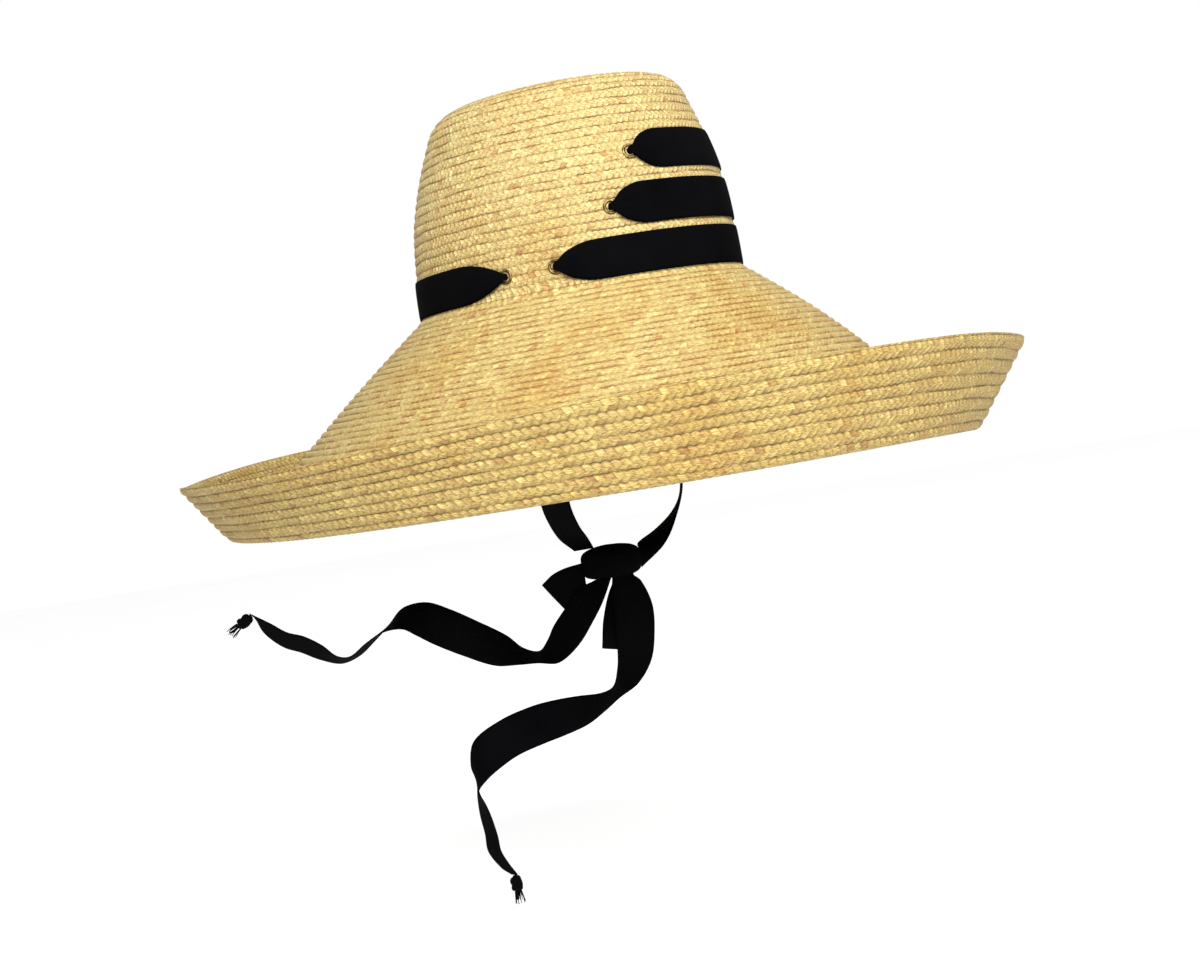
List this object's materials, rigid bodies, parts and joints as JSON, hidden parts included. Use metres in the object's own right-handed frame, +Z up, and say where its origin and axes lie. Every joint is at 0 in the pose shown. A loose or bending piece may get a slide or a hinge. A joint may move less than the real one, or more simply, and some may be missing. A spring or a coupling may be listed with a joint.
{
  "type": "wide-brim straw sun hat with ribbon ties",
  "caption": "Worn on the head for shade: a tall tapered straw crown, a sloping brim with a turned-up edge, a laced black ribbon and chin ties in a bow",
  "frame": {"origin": "centre of the head opening, where the crown meets the brim, on the crown's axis", "axes": "+Z up along the crown's axis, front towards -Y, the wearer's left towards +X"},
  "size_m": [0.4778, 0.5144, 0.484],
  "materials": {
    "straw": "sewn rows of plaited raffia straw, pale gold with darker flecks",
    "ribbon": "black ribbed grosgrain ribbon with a soft dull sheen",
    "eyelet": "antiqued brass with bright worn rims"
  },
  "bodies": {
    "root": {"crown": "straw", "brim": "straw", "eyelet_front_left": "eyelet", "eyelet_front_right": "eyelet", "eyelet_low_left": "eyelet", "eyelet_low_right": "eyelet", "eyelet_mid_left": "eyelet", "eyelet_mid_right": "eyelet", "eyelet_top_left": "eyelet", "eyelet_top_right": "eyelet", "band_front": "ribbon", "band_low": "ribbon", "band_mid": "ribbon", "band_top": "ribbon", "lace_left": "ribbon", "lace_right": "ribbon", "tie_left": "ribbon", "tie_right": "ribbon", "bow_knot": "ribbon", "bow_loop_front": "ribbon", "bow_loop_back": "ribbon", "tail_front": "ribbon", "tail_long": "ribbon", "tail_front_knot": "ribbon", "tail_long_knot": "ribbon"}
  },
  "joints": []
}
